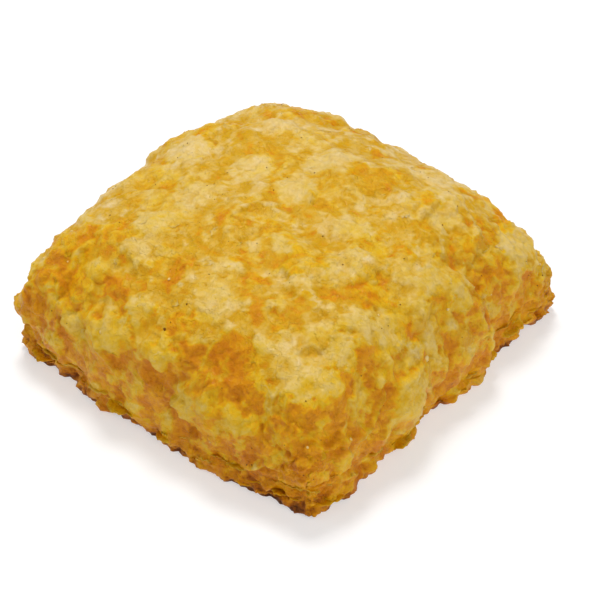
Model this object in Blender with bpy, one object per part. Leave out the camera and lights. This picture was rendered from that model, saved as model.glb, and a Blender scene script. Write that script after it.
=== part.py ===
"""Cheese pastry square: one baked square of puff pastry, puffed to a pillow, with flaky layers at its side.

Metres, +Z up. It rests on its flat base, with the origin at the base's middle and its sides along X and Y.
"""

import itertools

import bmesh
import bpy
import numpy as np
from mathutils import Matrix

MM = 0.001

# The pillow
SIDE = 105 * MM  # across the middle of opposite sides
HEIGHT = 43 * MM
BARREL = 0.30  # how far the sides bow out between the corners, from 0 (straight) to 1 (a circle)
LID_FLATNESS = 4.0  # a higher power keeps the lid flat further out
LID_SHOULDER = 0.48  # a lower power makes the lid fall more steeply to the rim
SKIN_BULGE = 0.018  # how far the skin hangs out over the rim, as a share of the plan
RIM_AT_CORNER = 13.5 * MM  # height of the layered side, below the skin
RIM_AT_MIDDLE = 6.5 * MM
CORNER_PULLS = {(1, 1): 4.5 * MM, (1, -1): 1.5 * MM, (-1, 1): -1.0 * MM, (-1, -1): -1.0 * MM}
CORNER_REACH = 7.0  # a higher power keeps each pull closer to its corner
CORNER_ROUND = 3.0 * MM  # how far each tip is blunted
TIP_REACH = 26.0

# The layered side
RIM_WAVE = 2.0 * MM  # how far the skin's edge wanders up and down
RIM_WAVE_LENGTH = 13 * MM
RIM_SEED = 21
SHEET_LENGTH = 7 * MM  # size of the ragged sheets along the side and up it
SHEET_HEIGHT = 2.1 * MM
SHEET_DEPTH = 1.5 * MM
SHEET_FINE_SHARE = 0.6  # how deep the sheets of half the size are beside the others
SHEET_START = 0.15  # share of the way down over which the sheets set in
SHEET_SEED = 31
SIDE_RECESS = 0.8 * MM  # how far the side is set back under the skin's edge
CORNER_RECESS = 2.2 * MM  # and how much further at the corners, above a lower lip
BASE_TUCK = 1.4 * MM
TUCK_START = 0.75  # share of the way down where the side starts to turn in

# Flakes that peel from the side
FLAKE_COUNT = 34
FLAKE_LENGTH = (5 * MM, 11 * MM)
FLAKE_REACH = (1.6 * MM, 3.4 * MM)  # how far each stands out from the side
FLAKE_ROOT = 2.2 * MM  # how far each goes into the side
FLAKE_THICKNESS = 0.9 * MM
FLAKE_LIFT = (-0.2, 0.55)  # rise of the free edge, as a share of its reach
FLAKE_TURN = 0.25  # most slope along the side
FLAKE_DOWN = (0.08, 0.85)  # share of the way down the side
FLAKE_RAGGED = 0.65  # shortest reach of a flake's edge beside its longest
FLAKE_ROUND = 0.45  # how much less the ends reach
FLAKE_TAPER = 0.35  # how much narrower the free edge is
FLAKE_SEED = 5
FLAKE_STEPS_ALONG = 4
FLAKE_STEPS_OUT = 2
FLOOR_GAP = 0.5 * MM

# The fold before the right-hand corner, where the skin is tucked in
FOLD_START = (46 * MM, 15.6 * MM)
FOLD_END = (52 * MM, 19.6 * MM)
FOLD_DEPTH = 3.2 * MM
FOLD_LIP = 1.0 * MM
FOLD_REACH = 11 * MM
FOLD_SLOPE = 2 * MM  # width of the step down into the hollow
FOLD_LIP_PLACE = 2.5 * MM  # how far before the line the lip stands
FOLD_LIP_WIDTH = 3 * MM
FOLD_TOP_EDGE = 38 * MM  # the fold fades in from here outwards
FOLD_TOP_FADE = 8 * MM

# Blisters: middle of each (x, y, z), its radius and how far it stands out, in millimetres
BLISTERS = (
    (46, 41, 25, 8, 2.2),
    (51, -13, 18, 10, 2.0),
    (38, -17, 38, 11, 1.4),
    (43, -37, 29, 11, 1.8),
    (-14, -49, 25, 9, 1.6),
    (3, -49, 26, 8, 1.4),
    (-38, -38, 31, 9, 1.4),
    (-42, 12, 37, 13, 0.6),
    (-30, 38, 36, 13, 1.4),
    (20, 45, 36, 11, 1.3),
    (-14, 45, 35, 11, 2.0),
    (3, 48, 31, 11, 1.8),
    (5, 16, 43, 14, 1.2),
    (16, -28, 42, 13, -1.0),
    (-18, -12, 43, 12, -0.9),
    (30, 14, 42, 9, 1.0),
    (22, -50, 17, 8, 1.2),
    (50, -32, 15, 8, -1.2),
    (48, 50, 20, 10, -2.4),
    (52, 47, 4, 10, 3.0),
    (52, 33, 2, 10, 2.4),
    (32, 47, 29, 9, 1.5),
    (54, -5, 5, 12, -3.4),
    (55, 15, 5, 7, -1.5),
    (51, -42, 2, 10, 3.0),
    (40, -52, 3, 6, -1.0),
    (-50, -44, 20, 10, -2.6),
    (-44, -50, 3, 10, 2.6),
    (-28, -53, 3, 7, -1.4),
    (16, -52, 3, 12, 1.2),
)
BLISTER_WANDER = 2.5 * MM  # how far a blister's edge strays from a circle
BLISTER_WAVE_LENGTH = 8 * MM
BLISTER_ROUNDNESS = 1.5  # a higher power gives a smaller, steeper top
WANDER_SEEDS = (1, 2, 3)

# Relief of the skin: size across and height of each scale of bump
RELIEF = ((19 * MM, 1.5 * MM), (9 * MM, 1.15 * MM), (4.6 * MM, 0.6 * MM))
RELIEF_SEED = 11

# The net of faces
LID_CELLS = 48
SIDE_ROWS = 8

NOISE_GAIN = 1.6  # brings the noise to about -1 to 1
STEP_AROUND = 0.02  # share of a side over which its direction is measured
TINY = 1e-6
CRUST_COLOUR = (0.74, 0.47, 0.13, 1.0)
CRUST_ROUGHNESS = 0.5


def noise(points, size, seed):
    """Smooth noise from about -1 to 1 at each point, with bumps about size across."""
    rng = np.random.default_rng(seed)
    table = rng.permutation(256)
    slopes = rng.normal(size=(256, 3))
    slopes /= np.linalg.norm(slopes, axis=1, keepdims=True)
    scaled = points / size
    cell = np.floor(scaled).astype(int)
    inside = scaled - cell
    fade = inside**3 * (inside * (inside * 6 - 15) + 10)
    total = np.zeros(len(points))
    for corner in itertools.product((0, 1), repeat=3):
        at = cell + corner
        picked = table[(at[:, 0]) & 255]
        picked = table[(picked + at[:, 1]) & 255]
        picked = table[(picked + at[:, 2]) & 255]
        slope = (slopes[picked] * (inside - corner)).sum(axis=1)
        weight = np.where(corner, fade, 1 - fade).prod(axis=1)
        total += weight * slope
    return NOISE_GAIN * total


def smooth_step(value, low, high):
    """0 below low and 1 above high, with an even curve between them."""
    share = np.clip((value - low) / (high - low), 0, 1)
    return share * share * (3 - 2 * share)


def pastry_net():
    """A closed net of faces: the lid as a grid, the side as rows below its rim, and one base face.

    x and y of each point hold the lid's two parameters, -1 to 1. z is 0 on the lid and -1 at the base.
    """
    net = bmesh.new()
    bmesh.ops.create_grid(net, x_segments=LID_CELLS, y_segments=LID_CELLS, size=1.0)
    for row in range(1, SIDE_ROWS + 1):
        rim = [edge for edge in net.edges if edge.is_boundary]
        added = bmesh.ops.extrude_edge_only(net, edges=rim)["geom"]
        for point in added:
            if isinstance(point, bmesh.types.BMVert):
                point.co.z = -row / SIDE_ROWS
    bmesh.ops.edgeloop_fill(net, edges=[edge for edge in net.edges if edge.is_boundary])
    bmesh.ops.recalc_face_normals(net, faces=net.faces)
    return net


def pillow(across, along, down):
    """Points of the smooth pillow, without its relief."""
    half = SIDE / 2
    x = half * across * np.sqrt(1 - BARREL * along**2 / 2)
    y = half * along * np.sqrt(1 - BARREL * across**2 / 2)
    for (to_x, to_y), pull in CORNER_PULLS.items():
        near = np.clip((across * to_x + along * to_y) / 2, 0, 1)
        shift = pull * near**CORNER_REACH - CORNER_ROUND * near**TIP_REACH
        x = x + shift * to_x / np.sqrt(2)
        y = y + shift * to_y / np.sqrt(2)
    flat_x = 1 - np.abs(across) ** LID_FLATNESS
    flat_y = 1 - np.abs(along) ** LID_FLATNESS
    rise = np.clip(flat_x * flat_y, 0, 1) ** LID_SHOULDER
    bulge = 1 + SKIN_BULGE * np.sin(np.pi * rise)
    rim = RIM_AT_MIDDLE + (RIM_AT_CORNER - RIM_AT_MIDDLE) * (across * along) ** 2
    rim = rim + RIM_WAVE * noise(np.stack([x, y, 0 * x], axis=1), RIM_WAVE_LENGTH, RIM_SEED)
    z = (rim + (HEIGHT - rim) * rise) * (1 - down)
    return np.stack([x * bulge, y * bulge, z], axis=1)


def fold_height(points):
    """The right-hand fold: a lip before its line, and a hollow behind it that fills out again."""
    start, end = np.array(FOLD_START), np.array(FOLD_END)
    line = (end - start) / np.linalg.norm(end - start)
    away = (points[:, 1] - start[1]) * line[0] - (points[:, 0] - start[0]) * line[1]
    hollow = smooth_step(away, 0, FOLD_SLOPE) * np.exp(-np.clip(away, 0, None) / FOLD_REACH)
    lip = np.exp(-(((away + FOLD_LIP_PLACE) / FOLD_LIP_WIDTH) ** 2))
    edge_only = smooth_step(points[:, 0], FOLD_TOP_EDGE, FOLD_TOP_EDGE + FOLD_TOP_FADE)
    return (FOLD_LIP * lip - FOLD_DEPTH * hollow) * edge_only


def skin_height(points):
    """How far the skin stands out from the pillow at each point."""
    height = fold_height(points)
    strays = [noise(points, BLISTER_WAVE_LENGTH, seed) for seed in WANDER_SEEDS]
    wander = np.stack(strays, axis=1) * BLISTER_WANDER
    for *middle, radius, stands_out in BLISTERS:
        off = np.linalg.norm(points + wander - np.array(middle) * MM, axis=1) / (radius * MM)
        height += stands_out * MM * np.clip(1 - off**2, 0, 1) ** BLISTER_ROUNDNESS
    for scale, (size, amount) in enumerate(RELIEF):
        height += amount * noise(points, size, RELIEF_SEED + scale)
    return height


def side_height(points, down):
    """How far the layered side stands out: ragged sheets, set back under the skin, tucked in below."""
    flattened = points * np.array([1, 1, SHEET_LENGTH / SHEET_HEIGHT])
    ragged = noise(flattened, SHEET_LENGTH, SHEET_SEED)
    ragged += SHEET_FINE_SHARE * noise(flattened, SHEET_LENGTH / 2, SHEET_SEED + 1)
    corner = np.clip(np.abs(points[:, 0] * points[:, 1]) * 4 / SIDE**2, 0, 1) ** 2
    recess = (SIDE_RECESS + CORNER_RECESS * corner) * np.sin(np.pi * down)
    tuck = BASE_TUCK * smooth_step(down, TUCK_START, 1.0)
    return SHEET_DEPTH * ragged * smooth_step(down, 0, SHEET_START) - recess - tuck


def lay_skin(mesh, down):
    """Moves each point out along its normal, on the side only outwards and not up or down."""
    count = len(mesh.vertices)
    points = np.empty(count * 3, np.float32)
    normals = np.empty(count * 3, np.float32)
    mesh.vertices.foreach_get("co", points)
    mesh.vertices.foreach_get("normal", normals)
    points = points.reshape(-1, 3).astype(float)
    normals = normals.reshape(-1, 3).astype(float)
    normals[:, 2] *= 1 - smooth_step(down, 0, SHEET_START)
    normals /= np.maximum(np.linalg.norm(normals, axis=1, keepdims=True), TINY)
    height = skin_height(points) + np.where(down > 0, side_height(points, down), 0)
    points += normals * height[:, None]
    mesh.vertices.foreach_set("co", points.ravel())
    mesh.update()


def side_spot(around, down):
    """A point of the side, with its directions outward and along. around runs 0 to 4, 1 for each side."""

    def on_edge(place):
        side, share = int(place) % 4, 2 * (place % 1) - 1
        across, along = ((share, -1), (1, share), (-share, 1), (-1, -share))[side]
        return pillow(np.array([across]), np.array([along]), np.array([down]))

    point = on_edge(around)
    along = (on_edge(around + STEP_AROUND) - on_edge(around - STEP_AROUND))[0] * np.array([1, 1, 0])
    along /= np.linalg.norm(along)
    outward = np.array([along[1], -along[0], 0])
    height = skin_height(point)[0] + side_height(point, np.array([down]))[0]
    return point[0] + outward * height, outward, along


def flake(rng, number):
    """One thin sheet that peels from the side: rooted in it, narrower and ragged at its free edge."""
    around = (number + rng.uniform(0, 1)) * 4 / FLAKE_COUNT
    spot, outward, along = side_spot(around, rng.uniform(*FLAKE_DOWN))
    half_length, reach = rng.uniform(*FLAKE_LENGTH) / 2, rng.uniform(*FLAKE_REACH)
    lift, turn = rng.uniform(*FLAKE_LIFT), rng.uniform(-FLAKE_TURN, FLAKE_TURN)
    ragged = rng.uniform(FLAKE_RAGGED, 1.0, FLAKE_STEPS_ALONG + 1)
    sheet = bmesh.new()
    bmesh.ops.create_grid(sheet, x_segments=FLAKE_STEPS_ALONG, y_segments=FLAKE_STEPS_OUT, size=1.0)
    for point in sheet.verts:
        side, out = point.co.x, (point.co.y + 1) / 2
        edge = ragged[round((side + 1) / 2 * FLAKE_STEPS_ALONG)] * (1 - FLAKE_ROUND * side**2)
        distance = out * (FLAKE_ROOT + reach * edge) - FLAKE_ROOT
        sideways = side * half_length * (1 - FLAKE_TAPER * out)
        up = lift * max(distance, 0) + turn * sideways
        place = spot + outward * distance + along * sideways + np.array([0, 0, up])
        point.co = (place[0], place[1], max(place[2], FLAKE_THICKNESS + FLOOR_GAP))
    bmesh.ops.recalc_face_normals(sheet, faces=sheet.faces)
    bmesh.ops.solidify(sheet, geom=sheet.faces, thickness=FLAKE_THICKNESS)
    bmesh.ops.recalc_face_normals(sheet, faces=sheet.faces)
    mesh = bpy.data.meshes.new(f"flake_{number}")
    sheet.to_mesh(mesh)
    sheet.free()
    return bpy.data.objects.new(f"flake_{number}", mesh)


def join_flakes(pastry):
    """Fuses every flake to the pastry, so that the whole is one solid."""
    flakes = bpy.data.collections.new("flakes")
    bpy.context.scene.collection.children.link(flakes)
    rng = np.random.default_rng(FLAKE_SEED)
    for number in range(FLAKE_COUNT):
        flakes.objects.link(flake(rng, number))
    union = pastry.modifiers.new("join_flakes", "BOOLEAN")
    union.operation = "UNION"
    union.operand_type = "COLLECTION"
    union.collection = flakes
    union.solver = "MANIFOLD"
    graph = bpy.context.evaluated_depsgraph_get()
    joined = bpy.data.meshes.new_from_object(pastry.evaluated_get(graph))
    pastry.modifiers.clear()
    pastry.data = joined
    for old in list(flakes.objects):
        bpy.data.objects.remove(old)
    bpy.data.collections.remove(flakes)


def rest_on_origin(mesh):
    """Puts the middle of the base's outline box at the origin."""
    points = np.array([point.co for point in mesh.vertices])
    low, high = points.min(axis=0), points.max(axis=0)
    middle = (low + high) / 2
    mesh.transform(Matrix.Translation((-middle[0], -middle[1], -low[2])))


def crust_material():
    material = bpy.data.materials.new("baked_puff_pastry")
    material.use_nodes = True
    shader = material.node_tree.nodes["Principled BSDF"]
    shader.inputs["Base Color"].default_value = CRUST_COLOUR
    shader.inputs["Roughness"].default_value = CRUST_ROUGHNESS
    return material


def build_pastry():
    net = pastry_net()
    given = np.array([point.co for point in net.verts])
    # The sine spreads the grid so that the steep shoulder gets as many faces as the flat top
    across, along = np.sin(given[:, 0] * np.pi / 2), np.sin(given[:, 1] * np.pi / 2)
    down = -given[:, 2]
    for point, place in zip(net.verts, pillow(across, along, down)):
        point.co = place
    mesh = bpy.data.meshes.new("pastry")
    net.to_mesh(mesh)
    net.free()
    lay_skin(mesh, down)
    pastry = bpy.data.objects.new("pastry", mesh)
    bpy.context.scene.collection.objects.link(pastry)
    join_flakes(pastry)
    rest_on_origin(pastry.data)
    pastry.data.materials.clear()
    pastry.data.materials.append(crust_material())
    pastry.data.shade_smooth()


def main():
    for old in list(bpy.data.objects):
        bpy.data.objects.remove(old)
    build_pastry()


main()
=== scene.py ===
import itertools
import bpy
import numpy as np
from mathutils import Matrix, Vector


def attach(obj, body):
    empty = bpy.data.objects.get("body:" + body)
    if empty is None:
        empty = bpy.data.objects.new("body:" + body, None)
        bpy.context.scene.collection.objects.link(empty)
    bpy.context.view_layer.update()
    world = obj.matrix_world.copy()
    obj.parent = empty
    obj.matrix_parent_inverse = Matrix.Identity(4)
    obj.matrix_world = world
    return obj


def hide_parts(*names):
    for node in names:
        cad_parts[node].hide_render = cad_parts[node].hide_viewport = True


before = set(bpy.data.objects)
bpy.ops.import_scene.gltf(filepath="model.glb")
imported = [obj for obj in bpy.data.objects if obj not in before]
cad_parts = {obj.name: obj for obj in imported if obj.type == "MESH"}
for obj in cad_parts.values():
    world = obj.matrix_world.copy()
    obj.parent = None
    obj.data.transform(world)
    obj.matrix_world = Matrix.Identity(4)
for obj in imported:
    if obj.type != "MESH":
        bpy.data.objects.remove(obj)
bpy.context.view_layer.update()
mm = 0.001
print("frame loaded:", sorted(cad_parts))


# The form: a puffed square pillow of pastry, with the same driving sizes as the solid that the crust covers

form = {
    "side": 105 * mm,  # across the middle of opposite sides
    "height": 43 * mm,
    "barrel": 0.30,  # how far the sides bow out between the corners
    "lidFlatness": 4.0,
    "lidShoulder": 0.48,
    "skinBulge": 0.018,  # how far the skin hangs out over the rim
    "rimAtCorner": 13.5 * mm,
    "rimAtMiddle": 6.5 * mm,
    "cornerPulls": {(1, 1): 4.5 * mm, (1, -1): 1.5 * mm, (-1, 1): -1.0 * mm, (-1, -1): -1.0 * mm},
    "cornerReach": 7.0,
    "cornerRound": 3.0 * mm,
    "tipReach": 26.0,
    "rimWave": 2.0 * mm,
    "rimWaveLength": 13 * mm,
    "rimSeed": 21,
    "offMiddle": (0.35 * mm, 0.39 * mm),  # from the pillow's own middle to the middle of its outline box
}
layers = {
    "sheetLength": 7 * mm,
    "sheetHeight": 2.1 * mm,
    "sheetDepth": 1.5 * mm,
    "sheetFineShare": 0.6,
    "sheetStart": 0.15,
    "sheetSeed": 31,
    "sideRecess": 0.8 * mm,
    "cornerRecess": 2.2 * mm,
    "baseTuck": 1.4 * mm,
    "tuckStart": 0.75,
}
fold = {
    "start": (46 * mm, 15.6 * mm),
    "end": (52 * mm, 19.6 * mm),
    "depth": 3.2 * mm,
    "lip": 1.0 * mm,
    "reach": 11 * mm,
    "slope": 2 * mm,
    "lipPlace": 2.5 * mm,
    "lipWidth": 3 * mm,
    "topEdge": 38 * mm,
    "topFade": 8 * mm,
}
swell = {
    # middle of each blister or hollow (x, y, z), its radius and how far it stands out, in millimetres
    "blisters": (
        (46, 41, 25, 8, 2.2), (51, -13, 18, 10, 2.0), (38, -17, 38, 11, 1.4), (43, -37, 29, 11, 1.8),
        (-14, -49, 25, 9, 1.6), (3, -49, 26, 8, 1.4), (-38, -38, 31, 9, 1.4), (-42, 12, 37, 13, 0.6),
        (-30, 38, 36, 13, 1.4), (20, 45, 36, 11, 1.3), (-14, 45, 35, 11, 2.0), (3, 48, 31, 11, 1.8),
        (5, 16, 43, 14, 1.2), (16, -28, 42, 13, -1.0), (-18, -12, 43, 12, -0.9), (30, 14, 42, 9, 1.0),
        (22, -50, 17, 8, 1.2), (50, -32, 15, 8, -1.2), (48, 50, 20, 10, -2.4), (52, 47, 4, 10, 3.0),
        (52, 33, 2, 10, 2.4), (32, 47, 29, 9, 1.5), (54, -5, 5, 12, -3.4), (55, 15, 5, 7, -1.5),
        (51, -42, 2, 10, 3.0), (40, -52, 3, 6, -1.0), (-50, -44, 20, 10, -2.6), (-44, -50, 3, 10, 2.6),
        (-28, -53, 3, 7, -1.4), (16, -52, 3, 12, 1.2),
    ),
    "wander": 2.5 * mm,
    "waveLength": 8 * mm,
    "roundness": 1.5,
    "wanderSeeds": (1, 2, 3),
    "relief": ((19 * mm, 1.5 * mm), (9 * mm, 1.15 * mm), (4.6 * mm, 0.6 * mm)),
    "reliefSeed": 11,
}
noiseGain = 1.6
noiseSlopes = 256  # a power of 2
tiny = 1e-6


def noise(points, size, seed):
    # smooth gradient noise: random slopes at the corners of cubes of that size, blended by a fifth-power fade
    rng = np.random.default_rng(seed)
    table = rng.permutation(noiseSlopes)
    slopes = rng.normal(size=(noiseSlopes, 3))
    slopes /= np.linalg.norm(slopes, axis=1, keepdims=True)
    scaled = points / size
    cell = np.floor(scaled).astype(int)
    inside = scaled - cell
    fade = inside**3 * (inside * (inside * 6 - 15) + 10)
    total = np.zeros(len(points))
    for corner in itertools.product((0, 1), repeat=3):
        at = cell + corner
        picked = 0
        for axis in range(3):
            picked = table[(picked + at[:, axis]) % noiseSlopes]
        slope = (slopes[picked] * (inside - corner)).sum(axis=1)
        total += np.where(corner, fade, 1 - fade).prod(axis=1) * slope
    return noiseGain * total


def drift(points, size, seeds):
    # three noises, one for each direction
    return np.stack([noise(points, size, seed) for seed in seeds], axis=1)


def smoothStep(value, low, high):
    # 0 below low and 1 above high, with an even curve between them
    share = np.clip((value - low) / (high - low), 0, 1)
    return share * share * (3 - 2 * share)


def pillowPoints(across, along, down):
    # plan: a square of half the side times each parameter, bowed by the root of 1 minus the other's square,
    # with each corner pulled out and blunted; height: the rim plus the rest times a power of the product of
    # both flatness curves
    half = form["side"] / 2
    x = half * across * np.sqrt(1 - form["barrel"] * along**2 / 2)
    y = half * along * np.sqrt(1 - form["barrel"] * across**2 / 2)
    for (toX, toY), pull in form["cornerPulls"].items():
        near = np.clip((across * toX + along * toY) / 2, 0, 1)
        shift = pull * near ** form["cornerReach"] - form["cornerRound"] * near ** form["tipReach"]
        x = x + shift * toX / np.sqrt(2)
        y = y + shift * toY / np.sqrt(2)
    flatX = 1 - np.abs(across) ** form["lidFlatness"]
    flatY = 1 - np.abs(along) ** form["lidFlatness"]
    rise = np.clip(flatX * flatY, 0, 1) ** form["lidShoulder"]
    bulge = 1 + form["skinBulge"] * np.sin(np.pi * rise)
    rim = form["rimAtMiddle"] + (form["rimAtCorner"] - form["rimAtMiddle"]) * (across * along) ** 2
    level = np.stack([x, y, 0 * x], axis=1)
    rim = rim + form["rimWave"] * noise(level, form["rimWaveLength"], form["rimSeed"])
    z = (rim + (form["height"] - rim) * rise) * (1 - down)
    return np.stack([x * bulge, y * bulge, z], axis=1)


def foldHeight(points):
    # a bell-shaped lip before the fold's line, and behind it a step down that dies out with distance
    start, end = np.array(fold["start"]), np.array(fold["end"])
    line = (end - start) / np.linalg.norm(end - start)
    away = (points[:, 1] - start[1]) * line[0] - (points[:, 0] - start[0]) * line[1]
    hollow = smoothStep(away, 0, fold["slope"]) * np.exp(-np.clip(away, 0, None) / fold["reach"])
    lip = np.exp(-(((away + fold["lipPlace"]) / fold["lipWidth"]) ** 2))
    edgeOnly = smoothStep(points[:, 0], fold["topEdge"], fold["topEdge"] + fold["topFade"])
    return (fold["lip"] * lip - fold["depth"] * hollow) * edgeOnly


def skinHeight(points):
    # the fold, plus round blisters with wandering edges, plus three sizes of noise
    height = foldHeight(points)
    wandered = points + drift(points, swell["waveLength"], swell["wanderSeeds"]) * swell["wander"]
    for *middle, radius, standsOut in swell["blisters"]:
        off = np.linalg.norm(wandered - np.array(middle) * mm, axis=1) / (radius * mm)
        height += standsOut * mm * np.clip(1 - off**2, 0, 1) ** swell["roundness"]
    for scale, (size, amount) in enumerate(swell["relief"]):
        height += amount * noise(points, size, swell["reliefSeed"] + scale)
    return height


def sideHeight(points, down):
    # noise that is flattened upwards makes sheets; a half sine sets them back, and they tuck in at the base
    flattened = points * np.array([1, 1, layers["sheetLength"] / layers["sheetHeight"]])
    ragged = noise(flattened, layers["sheetLength"], layers["sheetSeed"])
    ragged += layers["sheetFineShare"] * noise(flattened, layers["sheetLength"] / 2, layers["sheetSeed"] + 1)
    corner = cornerShare(points)
    recess = (layers["sideRecess"] + layers["cornerRecess"] * corner) * np.sin(np.pi * down)
    tuck = layers["baseTuck"] * smoothStep(down, layers["tuckStart"], 1.0)
    depth = layers["sheetDepth"] * smoothStep(down, 0, layers["sheetStart"])
    corner = smoothStep(corner, *band["sheetCorner"])
    depth = depth * (band["sheetDepthShare"] + (1 - band["sheetDepthShare"]) * corner)
    depth = depth * (band["sheetsAbove"] + (1 - band["sheetsAbove"]) * bandShare(points))
    return depth * ragged - recess - tuck


def vertexNormals(points, quads):
    # the sum of the cross products of each face's diagonals at its corners, made one long
    first, second, third, fourth = (points[quads[:, corner]] for corner in range(4))
    faceNormals = np.cross(third - first, fourth - second)
    total = np.zeros_like(points)
    for corner in range(4):
        np.add.at(total, quads[:, corner], faceNormals)
    return total / np.maximum(np.linalg.norm(total, axis=1, keepdims=True), tiny**2)


# The crust: one closed skin over the lid, the layered side and the flat base

crust = {
    "lidCells": 262,  # faces along each side of the lid
    "sideRows": 24,
    "seed": 4,
    "blisters": {
        "count": 330, "radii": (2.0 * mm, 5.5 * mm), "heights": (0.12 * mm, 0.52 * mm),
        "roundness": 0.75},
    "bubbles": {
        "count": 2600, "radii": (0.7 * mm, 1.8 * mm), "heights": (0.04 * mm, 0.14 * mm),
        "roundness": 0.7},
    "bubblesRaised": 0.8,  # how much the bubbles count in what is raised, beside the blisters
    "steepRelief": 0.7,  # how much stronger the blisters are on the sides
    "steepRange": (-0.85, -0.4),
    "grain": (1.1 * mm, 80, 0.08 * mm),
    "levelFrom": (0.7, 0.95),  # towards the base the relief pushes the side out level
}
# the layered band along the lower edge: how high it reaches, and how much of the layers is left above it
band = {
    "height": 3.2 * mm,
    "wave": (5 * mm, 90, 1.8 * mm),  # size, seed and height
    "lowerOnRight": 1.6 * mm,
    "rightRange": (-10 * mm, 10 * mm),
    "atCorners": {(1, -1): 6.0 * mm, (1, 1): 10.0 * mm, (-1, -1): 8.5 * mm, (-1, 1): 7.0 * mm},
    "cornerReach": 5,
    "blend": 2.2 * mm,
    "sheetsAbove": 0.4,
    "sheetDepthShare": 0.55,  # share of the solid's ragged layers that is left between the puffs
    "sheetCorner": (0.55, 0.85),
}
# noises that bend and fray the outlines of all that lies on the crust, and how far they carry each kind
fray = {
    "wave": (3.2 * mm, (41, 42, 43)),
    "tear": (1.3 * mm, (44, 45, 46)),
    "small": (1.9 * mm, 54),
    "fine": (1.2 * mm, 56),
    "leaves": (1.5 * mm, 0.7 * mm),  # by the wave and by the tear
    "toasted": (2.0 * mm, 1.1 * mm),
    "toastedBreaks": (0.0, 0.7 * mm),
    "patches": (0.0, 0.6 * mm),
    "glassy": (0.0, 0.9 * mm),
    "blisters": (1.2 * mm, 0.0),
    "pleats": (2.2 * mm, 0.0),
    "creases": (0.7 * mm, 0.0),
    "clouds": (0.5 * mm, 0.0),
    "crinkles": (0.9 * mm, 0.0),
    "grooves": (0.9 * mm, 0.4 * mm),
    "layers": (0.6 * mm, 0.0),
    "runs": (1.5 * mm, 0.0),
    "scallops": (0.8 * mm, 0.0),
}
# thin leaves of pastry and cheese that lie over each other on the skin
leaf = {
    "count": 440,
    "radius": (1.6 * mm, 6.5 * mm),
    "thickness": (0.10 * mm, 0.34 * mm),
    "stretch": (1.0, 2.4),
    "softEdge": 0.20,
    "golden": (0.60, 0.74),
    "pale": (0.18, 0.44),
    "goldenShare": 0.15,
    "cover": 0.45,
    "lip": -0.07,  # paler along the edge
    "lipPlace": 0.12,
    "lipWidth": 0.10,
}
# long low ridges where the dough has folded
pleat = {
    "count": 140,
    "radius": (0.55 * mm, 1.0 * mm),
    "stretch": (5.0, 12.0),
    "height": (0.20 * mm, 0.50 * mm),
    "roundness": 0.8,
    # painted light: paler along each pleat's ridge
    "tone": -0.08,
}
# crinkles and thin grooves in the skin: size, height, seed, and the seed of where they lie
wrinkles = {
    "crinkles": ((3.1 * mm, 0.30 * mm, 60, 70), (1.7 * mm, 0.20 * mm, 61, 71)),
    "crinkleSharpness": 2.6,
    "crinklePower": 1.4,
    "crinklePatch": 11 * mm,
    "crinkleRange": (-0.3, 0.3),
    "crinkleLeast": 0.35,
    # painted light on the crinkles' ridges and painted shade between them
    "crinklePaintedLightAndShade": -0.08,
    "grooves": ((5.5 * mm, 0.34 * mm, 64, 74), (2.6 * mm, 0.20 * mm, 65, 75)),
    "grooveSharpness": 11.0,
    "groovePatch": 7 * mm,
    "grooveRange": (-0.25, 0.25),
    # painted shade in the grooves
    "groovePaintedShade": 0.10,
    "lessWherePale": 0.4,
}
# relief of the sides: fine layers, folds that run down, small and large puffs along the lower edge, and the lip
folds = {
    "layerSize": (5 * mm, 0.9 * mm),  # length and height
    "layerSeed": 85,
    "layerSharpness": 2.2,
    "layerDepth": 0.55 * mm,
    "layerStart": (0.04, 0.15),
    "layerLeast": 0.15,
    "runWidth": 4.2 * mm,
    "runSeeds": (88, 89),
    "runDepth": 0.55 * mm,
    "runSharpness": 2.4,
    "runSqueeze": (0.35, 0.25),  # how little the noise changes across the side's face and down it
    # painted light on the folds' ridges and painted shade between them
    "runPaintedLightAndShade": -0.10,
    "runLessOnBand": 0.6,
    "turnRange": (-0.25, 0.25),
    "facingRange": (-0.92, -0.50),
    "scallopWidth": 3.8 * mm,
    "scallopSeed": 84,
    "scallopDepth": 0.90 * mm,
    "scallopShape": (2.4, 0.5),
    "scallopStart": (0.30, 0.70),
    "scallopLessAtCorners": 0.6,
    "lobeSize": 11.0 * mm,
    "lobeSeed": 86,
    "lobeDepth": 1.5 * mm,
    "lobeShape": (2.2, 0.6),
    "lobeSqueeze": 0.7,
    "lobeStart": (0.25, 0.6),
    "lobeLessAtCorners": 0.5,
    "lipDepth": 0.5 * mm,
    "lipPlace": 0.13,
    "lipWidth": 0.07,
}
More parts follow.
